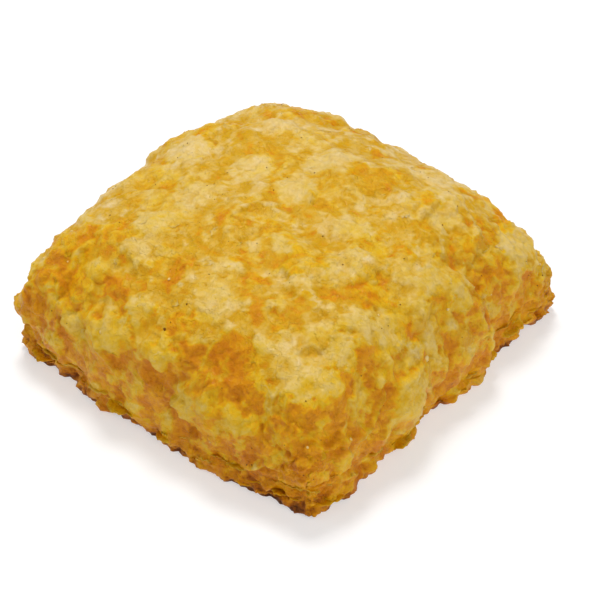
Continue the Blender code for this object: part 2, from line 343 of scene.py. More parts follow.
# places on the ramp of colours, which runs from cream at 0 through yellow and orange to dark brown at 1
tones = {
    "plain": 0.30,
    "clouds": ((12 * mm, 150, 0.05), (4.2 * mm, 151, 0.04), (1.9 * mm, 152, 0.03), (1.2 * mm, 153, 0.02)),
    "raised": -0.02,
    "glaze": 0.30,  # golden patches where the fat has spread
    "glazeNoise": (5.2 * mm, 57),
    "glazeMix": (0.9, 0.36, 0.12),  # shares of that noise and of the two that fray it
    "glazeRange": (0.14, 0.40),
    "glazeInFront": 0.16,  # more of it towards the near corner
    "glazeLessWherePale": 0.5,
    "cheese": -0.12,  # pale patches of melted cheese
    "cheeseNoise": (4.6 * mm, 53),
    "cheeseMix": (0.40, 0.10),  # shares of the fraying noise and of what is raised
    "cheeseRange": (0.08, 0.26),
    "cheesePale": 0.8,
    "glassyNoise": (5.0 * mm, 59),  # darker, olive-yellow places where the skin is thin
    "glassyMix": 0.3,
    "glassyRange": (0.0, 0.28),
    "glassyOnSides": 1.0,
    "glassyOnLid": 0.2,
    # the lows of the relief get more of the dark yellow glaze, partly a film of fat and partly painted shade
    "hollowRange": (-0.05 * mm, 0.75 * mm),
    "hollowLessWherePale": 0.5,
    "dryWherePale": 0.5,  # how much less the fat shows where the cheese has puffed
    "puffed": 0.22,
    "puffedSpread": 1.1,
    "puffedRoundness": 0.7,
    "puffedMix": (0.35, 0.20),
    "puffedRange": (0.05, 0.45),
    "puffedCover": 0.75,
    "toastedFrom": 0.40,
    "toastedSpan": 0.33,
    "toastedMix": (0.62, 0.30),
    "toastedRange": (0.12, 0.72),
    "toastedCover": 0.92,
    "toastedBreaks": (2.8 * mm, 98),  # paler places that break the toasted patches up
    "breakRange": (-0.30, 0.12),
    "toastedLeast": 0.35,
    # painted shade in the creases' troughs and painted light on their ridges
    "creaseTroughPaintedShade": 0.12,
    "creaseRidgePaintedLight": -0.10,
}
# how the tone changes with place: more golden on the sides, partly painted shade on faces turned from the
# light; paler at the back of the lid, painted light; brown along the layered band and the lowest edge
shading = {
    "front": 0.28,
    "right": 0.18,
    "back": 0.36,
    "backNoise": (6 * mm, 93),
    "backMix": (0.6, 0.8),
    "backRange": (0.5, 1.3),
    "facingGain": 1.6,
    "facingRange": (-0.97, -0.60),
    "steepRange": (-0.75, -0.2),
    "sideRange": (-0.95, -0.55),
    # painted light: the lid's tone is made paler towards the back, where the light falls from above and behind
    "paintedLightOnLidBack": -0.08,
    "paintedLightOnLidBackRange": (-25 * mm, 40 * mm),
    "nearCorner": 0.03,
    "nearCornerRange": (60 * mm, 95 * mm),
    "low": 0.14,
    "lowRange": (-30 * mm, -4 * mm),
    "keepPale": 0.36,  # how much of the sides' extra tone is left out where the cheese is pale
    "fadeAt": (0.48, 0.85),  # tones that are already golden or brown change less on the sides
    "mostGolden": 0.72,  # only the layered band gets much browner than this
    "pastMost": 0.3,
    "band": 0.71,
    "bandOnRight": 0.62,
    "bandAtCorners": 0.22,
    "bandRightRange": (-15 * mm, 10 * mm),
    "bandNoise": (3 * mm, 91),
    "bandSqueeze": 4,
    "bandMottle": 0.10,
    # painted light and shade on the band: paler where its relief stands out, browner where it sinks
    "bandPaintedLightAndShade": -0.12,
    "puffedAt": 0.6 * mm,
    "bandCover": 0.75,
    "foot": 0.16,  # the browned lowest edge
    "footHeight": 2.6 * mm,
    "limits": (0.02, 0.98),
}
# browned patches that the photo shows: middle (x, y, z), radius in millimetres and how dark
toasted = (
    (28, -25, 41, 4, 0.66), (6, -23, 41, 3, 0.70), (4, -8, 43, 4, 0.72), (12, -8, 43, 3, 0.62),
    (20, -14, 43, 8, 0.60), (35, 6, 40, 3.5, 0.86), (35, -12, 40, 4, 0.66), (-28, -11, 40, 3.5, 0.70),
    (-6, -33, 39, 7, 0.56), (-8, -12, 44, 2.5, 0.58), (-23, 16, 43, 3, 0.58), (10, 7, 44, 6, 0.50),
    (8, 22, 44, 3.5, 0.72), (16, 29, 42, 4, 0.60), (27, 25, 41, 4, 0.66), (4, -43, 35, 4, 0.64),
    (12, -47, 30, 4, 0.62), (26, -31, 39, 3.5, 0.72), (21, -42, 34, 6, 0.80), (25, -46, 29, 5, 0.74),
    (46, -23, 32, 5, 0.86), (44, -44, 28, 5, 0.82), (48, -37, 27, 4.5, 0.88), (42, -46, 25, 4, 0.74),
    (30, -47, 27, 4, 0.80), (1, -52, 21, 5, 0.76), (-35, -36, 35, 4, 0.66), (-32, -32, 37, 3.5, 0.78),
    (-16, -41, 35, 4, 0.72), (-33, -43, 30, 5, 0.78), (-30, -46, 26, 3.5, 0.84), (-25, -47, 27, 3, 0.84),
    (-10, -46, 31, 2.5, 0.80), (-5, -51, 25, 3, 0.84), (-38, -45, 27, 4, 0.74), (47, 22, 26, 4, 0.70),
    (41, 23, 35, 3.5, 0.66), (48, 31, 26, 4, 0.72), (53, 12, 8, 4, 0.80), (49, -40, 21, 5, 0.74),
    (47, 7, 31, 4, 0.62), (52, -21, 21, 3, 0.66), (36, -49, 19, 4, 0.66), (-21, 35, 40, 4, 0.80),
    (-16, 41, 37, 4, 0.85), (-9, 41, 38, 4, 0.90), (31, 42, 34, 4, 0.80), (37, 45, 29, 4, 0.85),
    (-37, -48, 21, 5, 0.85), (-41, -49, 10, 5, 0.90), (-37, -41, 32, 4, 0.75), (-34, 12, 40, 3, 0.75),
    (-32, 20, 40, 3.5, 0.80), (-28, 31, 39, 3.5, 0.85), (-23, 39, 38, 4, 0.85), (34, 46, 31, 4, 0.80),
    (41, 42, 29, 4, 0.75),
)
# pale puffed patches that the photo shows: middle (x, y, z), radius and height in millimetres
puffed = (
    (-11, -50, 27, 5.5, 0.8), (4, -50, 29, 4.5, 0.7), (-7, -44, 33, 4.5, 0.5), (-25, -50, 22, 3.5, 0.5),
    (-30, -51, 14, 3, 0.4), (-17, -35, 39, 4, 0.4), (42, -39, 32, 7.5, 0.8), (41, -19, 39, 5, 0.7),
    (54, -15, 18, 7, 0.8), (23, -28, 41, 2.6, 0.7), (43, -46, 24, 2.4, 0.9), (13, -11, 43, 5, 0.4),
    (2, 6, 43, 6, 0.5), (20, 3, 43, 5, 0.5), (30, 45, 32, 5, 0.5), (47, 38, 27, 6, 0.8),
    (49, 11, 29, 4.5, 0.6), (22, 38, 38, 5, 0.5), (-13, 5, 42, 6, 0.4), (-17, -10, 43, 6, 0.4),
    (-33, 4, 40, 6, 0.5), (-21, 26, 42, 5, 0.5), (0, 20, 43, 6, 0.5), (27, -38, 36, 2.8, 0.4),
    (30, -50, 22, 5, 0.6), (13, -51, 19, 4, 0.5), (45, -13, 31, 5, 0.6), (42, -27, 35, 4, 0.5),
    (43, 6, 36, 4, 0.4), (-20, -25, 41, 5, 0.4), (12, -34, 38, 4, 0.4), (39, -50, 16, 3, 0.5),
)
# creases that the photo shows: places along each (x, y, z), its width and height in millimetres
creases = (
    (((-32, -46, 27), (-32, -38, 34), (-31, -33, 37), (-27, -29, 39)), 0.9, 0.8),
    (((7, 4, 43), (3, 11, 43), (6, 17, 44), (9, 27, 43)), 0.9, 0.5),
    (((30, 20, 41), (29, 32, 39), (34, 33, 37), (41, 29, 35)), 0.9, 0.5),
    (((52, -18, 22), (52, -12, 22), (52, -6, 22), (53, -8, 17), (50, 0, 4)), 0.8, 0.7),
    (((43, -48, 21), (49, -43, 20), (51, -35, 18), (52, -27, 16)), 0.8, 0.8),
    (((37, -51, 9), (44, -49, 11), (50, -41, 9), (52, -30, 3)), 0.9, 1.1),
    (((0, -52, 22), (3, -52, 19), (8, -52, 18), (13, -52, 18)), 0.8, 0.7),
    (((22, -53, 5), (35, -52, 11), (43, -49, 18), (47, -45, 21)), 0.8, 0.9),
    (((-30, -51, 20), (-29, -52, 9)), 0.9, 0.7),
    (((-16, -49, 27), (-12, -53, 21), (-7, -53, 15)), 0.9, 0.7),
    (((51, -30, 16), (51, -25, 19), (51, -22, 23)), 0.7, 0.6),
    (((-5, -14, 44), (-3, -8, 45), (2, -1, 44)), 0.8, 0.4),
    (((-34, 10, 41), (-30, 21, 41), (-23, 33, 41)), 1.0, 0.6),
    (((-3, -35, 39), (-2, -31, 41), (1, -25, 41)), 0.8, 0.4),
    (((46, 24, 25), (50, 20, 21), (54, 18, 16), (54, 19, 11), (54, 18, 5)), 1.0, 0.9),
)
# in widths of the crease, and its trough's depth as a share of its height
creaseShape = {"reach": 5, "troughPlace": 2.0, "troughDepth": 0.4}
patchReach = 1.5  # how far round a patch its points are looked for, in radii


def crustNet(cells, rows):
    # parameters of every point and the faces: a grid for the lid, then rows of its outline down to the base
    steps = np.sin(np.linspace(-1, 1, cells + 1) * np.pi / 2)
    along, across = np.meshgrid(steps, steps, indexing="ij")
    grid = np.arange((cells + 1) ** 2).reshape(cells + 1, cells + 1)
    outline = np.concatenate([grid[0, :-1], grid[:-1, -1], grid[-1, :0:-1], grid[:0:-1, 0]])
    lidFaces = np.stack([grid[:-1, :-1], grid[:-1, 1:], grid[1:, 1:], grid[1:, :-1]], axis=-1)
    count = len(outline)
    loops = np.concatenate([[outline], grid.size + np.arange(rows * count).reshape(rows, count)])
    following = np.roll(loops, -1, axis=1)
    sideFaces = np.stack([loops[1:], following[1:], following[:-1], loops[:-1]], axis=-1)
    across = np.concatenate([across.ravel(), np.tile(across.ravel()[outline], rows)])
    along = np.concatenate([along.ravel(), np.tile(along.ravel()[outline], rows)])
    down = np.concatenate([np.zeros(grid.size), np.repeat(np.arange(1, rows + 1) / rows, count)])
    return across, along, down, np.concatenate([lidFaces.reshape(-1, 4), sideFaces.reshape(-1, 4)]), grid, loops


def coverOf(points, drifted, middle, radius, lean=None, stretch=1.0):
    # indices of the points within reach of a patch, and 1 minus the square of their distance in radii
    reach = radius * stretch * patchReach
    near = np.flatnonzero((np.abs(points - middle) < reach).all(axis=1))
    off = drifted[near] - middle
    square = (off**2).sum(axis=1)
    if lean is not None:
        run = off @ lean
        square += run**2 * (1 / stretch**2 - 1)
    return near, 1 - square / radius**2


def awayFromLine(points, line, reach):
    # indices of the points near a line of places, and their distance from its nearest piece
    line = np.array(line) * mm
    inBox = (points > line.min(axis=0) - reach) & (points < line.max(axis=0) + reach)
    near = np.flatnonzero(inBox.all(axis=1))
    away = np.full(len(near), reach)
    for start, end in zip(line[:-1], line[1:]):
        run = end - start
        share = np.clip((points[near] - start) @ run / (run @ run), 0, 1)
        away = np.minimum(away, np.linalg.norm(points[near] - start - share[:, None] * run, axis=1))
    return near, away


def cornerShare(points):
    # 1 at the corners and 0 at the middles of the sides: the square of the product of both places in half sides
    return np.clip(np.abs(points[:, 0] * points[:, 1]) * 4 / form["side"] ** 2, 0, 1) ** 2


def bandShare(points):
    # 1 in the layered band along the lower edge and 0 above it; the band's top waves and rises to the corners
    size, seed, amount = band["wave"]
    top = band["height"] + amount * noise(points * np.array([1, 1, 0]), size, seed)
    top -= band["lowerOnRight"] * smoothStep(points[:, 0] - np.abs(points[:, 1]), *band["rightRange"])
    for (toX, toY), extra in band["atCorners"].items():
        near = np.clip((points[:, 0] * toX + points[:, 1] * toY) / form["side"], 0, 1)
        top += extra * near ** band["cornerReach"]
    return smoothStep(top - points[:, 2], -band["blend"], band["blend"])


def carried(points, noises, kind):
    # the points, moved by the wave and the tear as far as their kind of patch is
    byWave, byTear = fray[kind]
    return points + byWave * noises["wave"] + byTear * noises["tear"]


def scatterDomes(points, drifted, rng, count, radii, heights, roundness):
    # at each point the highest of many domes: a height times a power of 1 minus the square of the distance
    highest = np.zeros(len(points))
    for pick in rng.integers(0, len(points), count):
        near, inside = coverOf(points, drifted, points[pick], rng.uniform(*radii))
        dome = rng.uniform(*heights) * np.clip(inside, 0, 1) ** roundness
        highest[near] = np.maximum(highest[near], dome)
    return highest


def evened(values):
    # moved and scaled to a mean of 0 and a spread of 1
    return (values - values.mean()) / values.std()


def groundTone(points, noises, raised):
    # the plain tone with clouds, minus pale patches and plus golden ones, each where a frayed noise is high
    small, fine = noises["small"], noises["fine"]
    drifted = carried(points, noises, "patches")
    inFront = np.clip((points[:, 0] - points[:, 1]) / form["side"], -1, 1)
    mainShare, smallShare, fineShare = tones["glazeMix"]
    spots = mainShare * noise(drifted, *tones["glazeNoise"]) + smallShare * small + fineShare * fine
    golden = smoothStep(spots + tones["glazeInFront"] * inFront, *tones["glazeRange"])
    smallShare, raisedShare = tones["cheeseMix"]
    patches = noise(drifted, *tones["cheeseNoise"]) + smallShare * small + raisedShare * raised
    paled = smoothStep(patches, *tones["cheeseRange"])
    tone = tones["plain"] + tones["raised"] * raised + tones["cheese"] * paled
    tone += tones["glaze"] * golden * (1 - tones["glazeLessWherePale"] * paled)
    for size, seed, amount in tones["clouds"]:
        tone += amount * noise(carried(points, noises, "clouds"), size, seed)
    return tone, paled


def leanAt(normal, rng):
    # a random direction along the skin
    lean = np.cross(normal, rng.normal(size=3))
    return lean / np.linalg.norm(lean)


def layLeaves(points, normals, drifted, rng, tone):
    # each leaf is an oval on the skin, with a soft edge, a share of its own tone and a paler lip
    height = np.zeros(len(points))
    for pick in rng.integers(0, len(points), leaf["count"]):
        lean = leanAt(normals[pick], rng)
        radius = rng.uniform(*leaf["radius"])
        stretch = rng.uniform(*leaf["stretch"])
        kind = rng.uniform()
        thickness = rng.uniform(*leaf["thickness"])
        near, inside = coverOf(points, drifted, points[pick], radius, lean, stretch)
        cover = smoothStep(inside, 0, leaf["softEdge"])
        height[near] += thickness * cover
        shade = rng.uniform(*(leaf["golden"] if kind < leaf["goldenShare"] else leaf["pale"]))
        tone[near] += (shade - tone[near]) * cover * leaf["cover"]
        tone[near] += leaf["lip"] * np.exp(-(((inside - leaf["lipPlace"]) / leaf["lipWidth"]) ** 2))
    return height


def raisePleats(points, normals, drifted, rng, height, tone):
    # long thin domes along the skin, in random directions
    for pick in rng.integers(0, len(points), pleat["count"]):
        lean = leanAt(normals[pick], rng)
        radius = rng.uniform(*pleat["radius"])
        stretch = rng.uniform(*pleat["stretch"])
        near, inside = coverOf(points, drifted, points[pick], radius, lean, stretch)
        ridge = np.clip(inside, 0, 1) ** pleat["roundness"]
        height[near] += rng.uniform(*pleat["height"]) * ridge
        # painted light along the ridge
        tone[near] += pleat["tone"] * ridge


def raiseCreases(drifted, height, tone):
    # across each line a bell that is paler, painted light on the ridge, and beside it a shallower trough that
    # is browner, painted shade
    for line, width, standsOut in creases:
        near, away = awayFromLine(drifted, line, creaseShape["reach"] * width * mm)
        off = away / (width * mm)
        bell = np.exp(-(off**2))
        trough = np.exp(-((off - creaseShape["troughPlace"]) ** 2))
        height[near] += standsOut * mm * (bell - creaseShape["troughDepth"] * trough)
        tone[near] += tones["creaseTroughPaintedShade"] * trough + tones["creaseRidgePaintedLight"] * bell


def frayedCover(inside, near, noises, mix, limits):
    # 1 inside a patch and 0 outside, with an edge that the two small noises move in and out
    moved = mix[0] * noises["small"][near] + mix[1] * noises["fine"][near]
    return smoothStep(inside + moved, *limits)


def puffAndToast(points, noises, height, tone):
    # pale domes where the cheese has puffed, then golden to brown patches that paler places break up
    pale, toast = np.zeros((2, len(points)))
    drifted = carried(points, noises, "leaves")
    for *middle, radius, standsOut in puffed:
        near, inside = coverOf(points, drifted, np.array(middle) * mm, radius * tones["puffedSpread"] * mm)
        height[near] += standsOut * mm * np.clip(inside, 0, 1) ** tones["puffedRoundness"]
        cover = frayedCover(inside, near, noises, tones["puffedMix"], tones["puffedRange"])
        tone[near] += (tones["puffed"] - tone[near]) * cover * tones["puffedCover"]
        pale[near] = np.maximum(pale[near], cover)
    broken = noise(carried(points, noises, "toastedBreaks"), *tones["toastedBreaks"])
    whole = tones["toastedLeast"] + (1 - tones["toastedLeast"]) * smoothStep(broken, *tones["breakRange"])
    drifted = carried(points, noises, "toasted")
    for *middle, radius, dark in toasted:
        near, inside = coverOf(points, drifted, np.array(middle) * mm, radius * mm)
        cover = frayedCover(inside, near, noises, tones["toastedMix"], tones["toastedRange"]) * whole[near]
        shade = tones["toastedFrom"] + tones["toastedSpan"] * dark
        tone[near] += (shade - tone[near]) * cover * tones["toastedCover"]
        toast[near] = np.maximum(toast[near], cover)
        pale[near] *= 1 - cover
    return pale, toast


def wrinkle(points, noises, paled, height, tone):
    # crinkles are ridges along the zero lines of a noise, grooves thin bells along another's, both in patches
    give = wrinkles
    smooth = 1 - give["lessWherePale"] * paled
    for size, amount, seed, patchSeed in give["crinkles"]:
        wavy = noise(carried(points, noises, "crinkles"), size, seed)
        ridge = 1 - np.clip(np.abs(wavy) * give["crinkleSharpness"], 0, 1)
        patchy = smoothStep(noise(points, give["crinklePatch"], patchSeed), *give["crinkleRange"])
        patchy = give["crinkleLeast"] + (1 - give["crinkleLeast"]) * patchy
        height += amount * ridge ** give["crinklePower"] * patchy * smooth
        # painted light and shade: paler on each crinkle's ridge, darker beside it
        tone += give["crinklePaintedLightAndShade"] * (ridge - 0.5) * patchy
    for size, amount, seed, patchSeed in give["grooves"]:
        wavy = noise(carried(points, noises, "grooves"), size, seed)
        line = np.exp(-((wavy * give["grooveSharpness"]) ** 2)) * smooth
        line *= smoothStep(noise(points, give["groovePatch"], patchSeed), *give["grooveRange"])
        height -= amount * line
        # painted shade: darker along each groove
        tone += give["groovePaintedShade"] * line


def foldSides(points, normals, down, noises, height, tone):
    # layers are ridges of a noise squeezed upwards, folds are ridges of one drawn out down the side, scallops
    # and lobes are swellings along the lower edge, and a groove lies under the skin's edge at the corners
    give = folds
    corner, inBand = cornerShare(points), bandShare(points)
    length, layerHeight = give["layerSize"]
    flattened = carried(points, noises, "layers") * np.array([1, 1, length / layerHeight])
    ridge = 1 - np.clip(np.abs(noise(flattened, length, give["layerSeed"])) * give["layerSharpness"], 0, 1)
    share = give["layerLeast"] + (1 - give["layerLeast"]) * inBand * corner
    height += give["layerDepth"] * (ridge - 0.5) * smoothStep(down, *give["layerStart"]) * share
    facing = smoothStep(-normals[:, 2], *give["facingRange"])
    across, drawnOut = give["runSqueeze"]
    drifted = carried(points, noises, "runs")
    alongX = noise(drifted * np.array([1, across, drawnOut]), give["runWidth"], give["runSeeds"][0])
    alongY = noise(drifted * np.array([across, 1, drawnOut]), give["runWidth"], give["runSeeds"][1])
    turned = smoothStep(np.abs(normals[:, 0]) - np.abs(normals[:, 1]), *give["turnRange"])
    runs = 1 - give["runSharpness"] * np.abs(alongX + (alongY - alongX) * turned)
    height += give["runDepth"] * runs * facing * (1 - give["runLessOnBand"] * inBand)
    # painted light and shade: paler on the ridges of the folds, browner between them
    tone += give["runPaintedLightAndShade"] * runs * facing * (1 - inBand)
    gain, drop = give["scallopShape"]
    puffs = noise(carried(points, noises, "scallops"), give["scallopWidth"], give["scallopSeed"])
    puffs = (gain * np.abs(puffs) - drop) * (1 - give["scallopLessAtCorners"] * corner)
    height += give["scallopDepth"] * puffs * smoothStep(down, *give["scallopStart"])
    gain, drop = give["lobeShape"]
    lobes = noise(points * np.array([1, 1, give["lobeSqueeze"]]), give["lobeSize"], give["lobeSeed"])
    lobes = (gain * np.abs(lobes) - drop) * (1 - give["lobeLessAtCorners"] * corner)
    height += give["lobeDepth"] * lobes * smoothStep(down, *give["lobeStart"])
    height -= give["lipDepth"] * corner * np.exp(-(((down - give["lipPlace"]) / give["lipWidth"]) ** 2))


def dressCrust(points, normals, down):
    # the fine relief and the tones, kind by kind, and where the crust is toasted, pale or glassy
    rng = np.random.default_rng(crust["seed"])
    noises = {"wave": drift(points, *fray["wave"]), "tear": drift(points, *fray["tear"])}
    noises["small"] = noise(points, *fray["small"])
    noises["fine"] = noise(carried(points, noises, "clouds"), *fray["fine"])
    drifted = carried(points, noises, "blisters")
    domes = scatterDomes(points, drifted, rng, **crust["blisters"])
    bubbles = scatterDomes(points, drifted, rng, **crust["bubbles"])
    raised = evened(domes) + crust["bubblesRaised"] * evened(bubbles)
    tone, paled = groundTone(points, noises, raised)
    height = layLeaves(points, normals, carried(points, noises, "leaves"), rng, tone)
    steep = smoothStep(-normals[:, 2], *crust["steepRange"])
    height += domes * (1 + crust["steepRelief"] * steep) + bubbles
    raisePleats(points, normals, carried(points, noises, "pleats"), rng, height, tone)
    raiseCreases(carried(points, noises, "creases"), height, tone)
    pale, toast = puffAndToast(points, noises, height, tone)
    wrinkle(points, noises, paled, height, tone)
    size, seed, amount = crust["grain"]
    height += amount * noise(points, size, seed)
    foldSides(points, normals, down, noises, height, tone)
    glassy = noise(carried(points, noises, "glassy"), *tones["glassyNoise"])
    glassy += tones["glassyMix"] * noises["small"]
    pale = np.maximum(pale, tones["cheesePale"] * paled)
    glassy = smoothStep(glassy, *tones["glassyRange"]) * (1 - pale) * (1 - toast)
    return height - height.mean(), tone, toast, pale, glassy


def shadeSides(points, normals, fine, tone, pale):
    # more golden on the sides, towards the near corner and lower down, partly painted shade where they turn
    # from the light; browner at the back; paler on the back of the lid, painted light; and brown between the
    # layers, with painted shade in the recesses and painted light on the puffs
    give = shading
    steep = smoothStep(-normals[:, 2], *give["steepRange"])
    facing = smoothStep(-normals[:, 2], *give["facingRange"])
    least, mottle = give["backMix"]
    back = smoothStep(normals[:, 1] - normals[:, 0], *give["backRange"])
    # partly painted shade: faces towards the front, the right, the near corner and low down get browner, as the
    # light falls from above and behind
    added = give["front"] * np.clip(-normals[:, 1] * give["facingGain"], 0, 1) * facing
    added += give["right"] * np.clip(normals[:, 0] * give["facingGain"], 0, 1) * facing
    added += give["back"] * back * (least + mottle * noise(points, *give["backNoise"]))
    added += give["nearCorner"] * smoothStep(points[:, 0] - points[:, 1], *give["nearCornerRange"])
    added += give["low"] * smoothStep(-points[:, 2], *give["lowRange"])
    added *= (1 - give["keepPale"] * pale) * (1 - smoothStep(tone, *give["fadeAt"]))
    # painted light: paler tone on the back of the lid
    paintedLightOnLidBack = smoothStep(points[:, 1] - points[:, 0], *give["paintedLightOnLidBackRange"]) * (1 - steep)
    tone = tone + added + give["paintedLightOnLidBack"] * paintedLightOnLidBack
    tone = np.minimum(tone, give["mostGolden"] + give["pastMost"] * (tone - give["mostGolden"]))
    onRight = smoothStep(points[:, 0] - np.abs(points[:, 1]), *give["bandRightRange"])
    layered = give["band"] + (give["bandOnRight"] - give["band"]) * onRight
    layered = layered + give["bandAtCorners"] * cornerShare(points)
    # painted light on the band's puffs and painted shade in its recesses, by the height of the relief
    layered = layered + give["bandPaintedLightAndShade"] * np.clip(fine / give["puffedAt"], -1, 1)
    layered += give["bandMottle"] * noise(points * np.array([1, 1, give["bandSqueeze"]]), *give["bandNoise"])
    tone = tone + bandShare(points) * (layered - tone) * give["bandCover"]
    tone = tone + give["foot"] * smoothStep(-points[:, 2], -give["footHeight"], 0)
    return np.clip(tone, *give["limits"])


print("crust: working out the skin")
across, along, down, quads, lidGrid, sideLoops = crustNet(crust["lidCells"], crust["sideRows"])
smoothPoints = pillowPoints(across, along, down)
outward = vertexNormals(smoothPoints, quads)
outward[:, 2] *= 1 - smoothStep(down, 0, layers["sheetStart"])
outward /= np.maximum(np.linalg.norm(outward, axis=1, keepdims=True), tiny)
standing = skinHeight(smoothPoints) + np.where(down > 0, sideHeight(smoothPoints, down), 0)
toFrame = np.array([*form["offMiddle"], 0.0])
skinPoints = smoothPoints + outward * standing[:, None] + toFrame
skinNormals = vertexNormals(skinPoints, quads)
fine, tone, toast, pale, glassy = dressCrust(skinPoints, skinNormals, down)
tone = shadeSides(skinPoints, skinNormals, fine, tone, pale)
pushed = skinNormals.copy()
pushed[:, 2] *= 1 - smoothStep(down, *crust["levelFrom"])
crustPoints = skinPoints + pushed * fine[:, None]
crustPoints[down == 1, 2] = 0
onSides = smoothStep(-skinNormals[:, 2], *shading["sideRange"])
glassyShare = tones["glassyOnLid"] + (tones["glassyOnSides"] - tones["glassyOnLid"]) * onSides
# partly painted shade: the lows of the relief get a darker yellow glaze
hollow = smoothStep(-fine, *tones["hollowRange"]) * (1 - tones["hollowLessWherePale"] * pale)
hollow = np.maximum(hollow, glassy * glassyShare) - tones["dryWherePale"] * pale


def addPiece(name, points, faces, material, values=None):
    # a mesh from arrays of points and faces, with a value at each point for every named attribute
    mesh = bpy.data.meshes.new(name)
    mesh.from_pydata(np.asarray(points).tolist(), [], [list(face) for face in faces])
    for title, value in (values or {}).items():
        mesh.attributes.new(title, "FLOAT", "POINT").data.foreach_set("value", np.asarray(value, np.float32))
    mesh.materials.append(material)
    mesh.shade_smooth()
    mesh.update()
    piece = bpy.data.objects.new(name, mesh)
    bpy.context.scene.collection.objects.link(piece)
    return piece


# Materials

def linearColour(code):
    # an sRGB hex colour as linear values with full alpha
    values = np.array([int(code[at:at + 2], 16) for at in (1, 3, 5)]) / 255
    linear = np.where(values <= 0.04045, values / 12.92, ((values + 0.055) / 1.055) ** 2.4)
    return (*linear.tolist(), 1.0)


def setInputs(tree, node, inputs):
    # sets each input of a node to a value or a link
    for name, value in inputs.items():
        if isinstance(value, bpy.types.NodeSocket):
            tree.links.new(value, node.inputs[name])
        else:
            node.inputs[name].default_value = value


def addNode(tree, kind, inputs=None, stops=None, **settings):
    # adds one node, sets its properties, its colour stops, and each input to a value or a link
    node = tree.nodes.new(kind)
    for name, value in settings.items():
        setattr(node, name, value)
    for place, (position, colour) in enumerate(stops or ()):
        elements = node.color_ramp.elements
        stop = elements[place] if place < 2 else elements.new(position)
        stop.position = position
        stop.color = linearColour(colour)
    setInputs(tree, node, inputs or {})
    return node


def mathNode(tree, operation, *values, **settings):
    # the result of one operation on values or links
    return addNode(tree, "ShaderNodeMath", dict(enumerate(values)), operation=operation, **settings).outputs[0]


def noiseNode(tree, place, size, detail, roughness, distortion):
    # a noise of that size, from 0 to 1
    inputs = {"Vector": place, "Scale": 1 / size, "Detail": detail, "Roughness": roughness}
    return addNode(tree, "ShaderNodeTexNoise", inputs | {"Distortion": distortion}).outputs["Fac"]


def rangeNode(tree, value, fromRange, toRange=(0, 1), **settings):
    # a value carried from one range to another
    inputs = {"Value": value, "From Min": fromRange[0], "From Max": fromRange[1]}
    inputs |= {"To Min": toRange[0], "To Max": toRange[1]}
    return addNode(tree, "ShaderNodeMapRange", inputs, **settings).outputs["Result"]


def bumpNode(tree, height, distance, **under):
    # the normal of a relief of that depth, laid over an earlier normal
    inputs = {"Height": height, "Strength": 1.0, "Distance": distance}
    return addNode(tree, "ShaderNodeBump", inputs | under).outputs["Normal"]


def shadedMaterial(name):
    # a new material with its tree and its shader
    material = bpy.data.materials.new(name)
    material.use_nodes = True
    return material, material.node_tree, material.node_tree.nodes["Principled BSDF"]


crustLook = {
    "stops": (
        (0.00, "#E6CC98"), (1.00, "#6A3A06"), (0.16, "#E4C57E"), (0.30, "#E2BF60"), (0.42, "#E2B93A"),
        (0.54, "#E3B20E"), (0.66, "#E5A402"), (0.78, "#DA9000"), (0.89, "#B06A00"),
    ),
    # it also darkens the lows of the relief, which is partly painted shade
    "glaze": "#EED638",  # what a yellow film of fat does to the colour under it
    "glazeMost": 0.62,
    # size, detail, roughness and distortion of the noises
    "flakes": (1.5 * mm, 4.0, 0.5, 0.8),
    "grain": (0.5 * mm, 4.0, 0.6, 0.3),
    "thin": (2.9 * mm, 3.0, 0.5, 0.6),  # where the cheese lies thin and the fat shows
    "sheets": (4.0, 0.5, 0.7),
    "thinEdge": (0.40, 0.62),
    "thinMost": 0.52,
    "toneSpread": 0.26,  # how far the finer noises move the tone
    "toastCalm": 0.40,  # how much of that is left out where the crust has toasted
    "grainSpread": 0.14,
    "sheetPlaces": ((4.2 * mm, 0.0), (2.4 * mm, 0.31)),  # size of thin sheets over each other, and offset
    "sheetEdge": (0.500, 0.530),
    "sheetThickness": 0.09 * mm,
    "sheetTone": 0.030,
    "glossRange": (0.3, 0.7),
    "roughness": (0.28, 0.60),
    "crinkleDistance": 0.18 * mm,
    "grainDistance": 0.28 * mm,
    "shader": {
        "Specular IOR Level": 0.09,
        "Coat Weight": 0.34,
        "Coat Roughness": 0.10,
        "Coat IOR": 1.33,
        "Subsurface Weight": 0.10,
        "Subsurface Radius": (1.0, 0.78, 0.32),
        "Subsurface Scale": 1.2 * mm,
    },
}


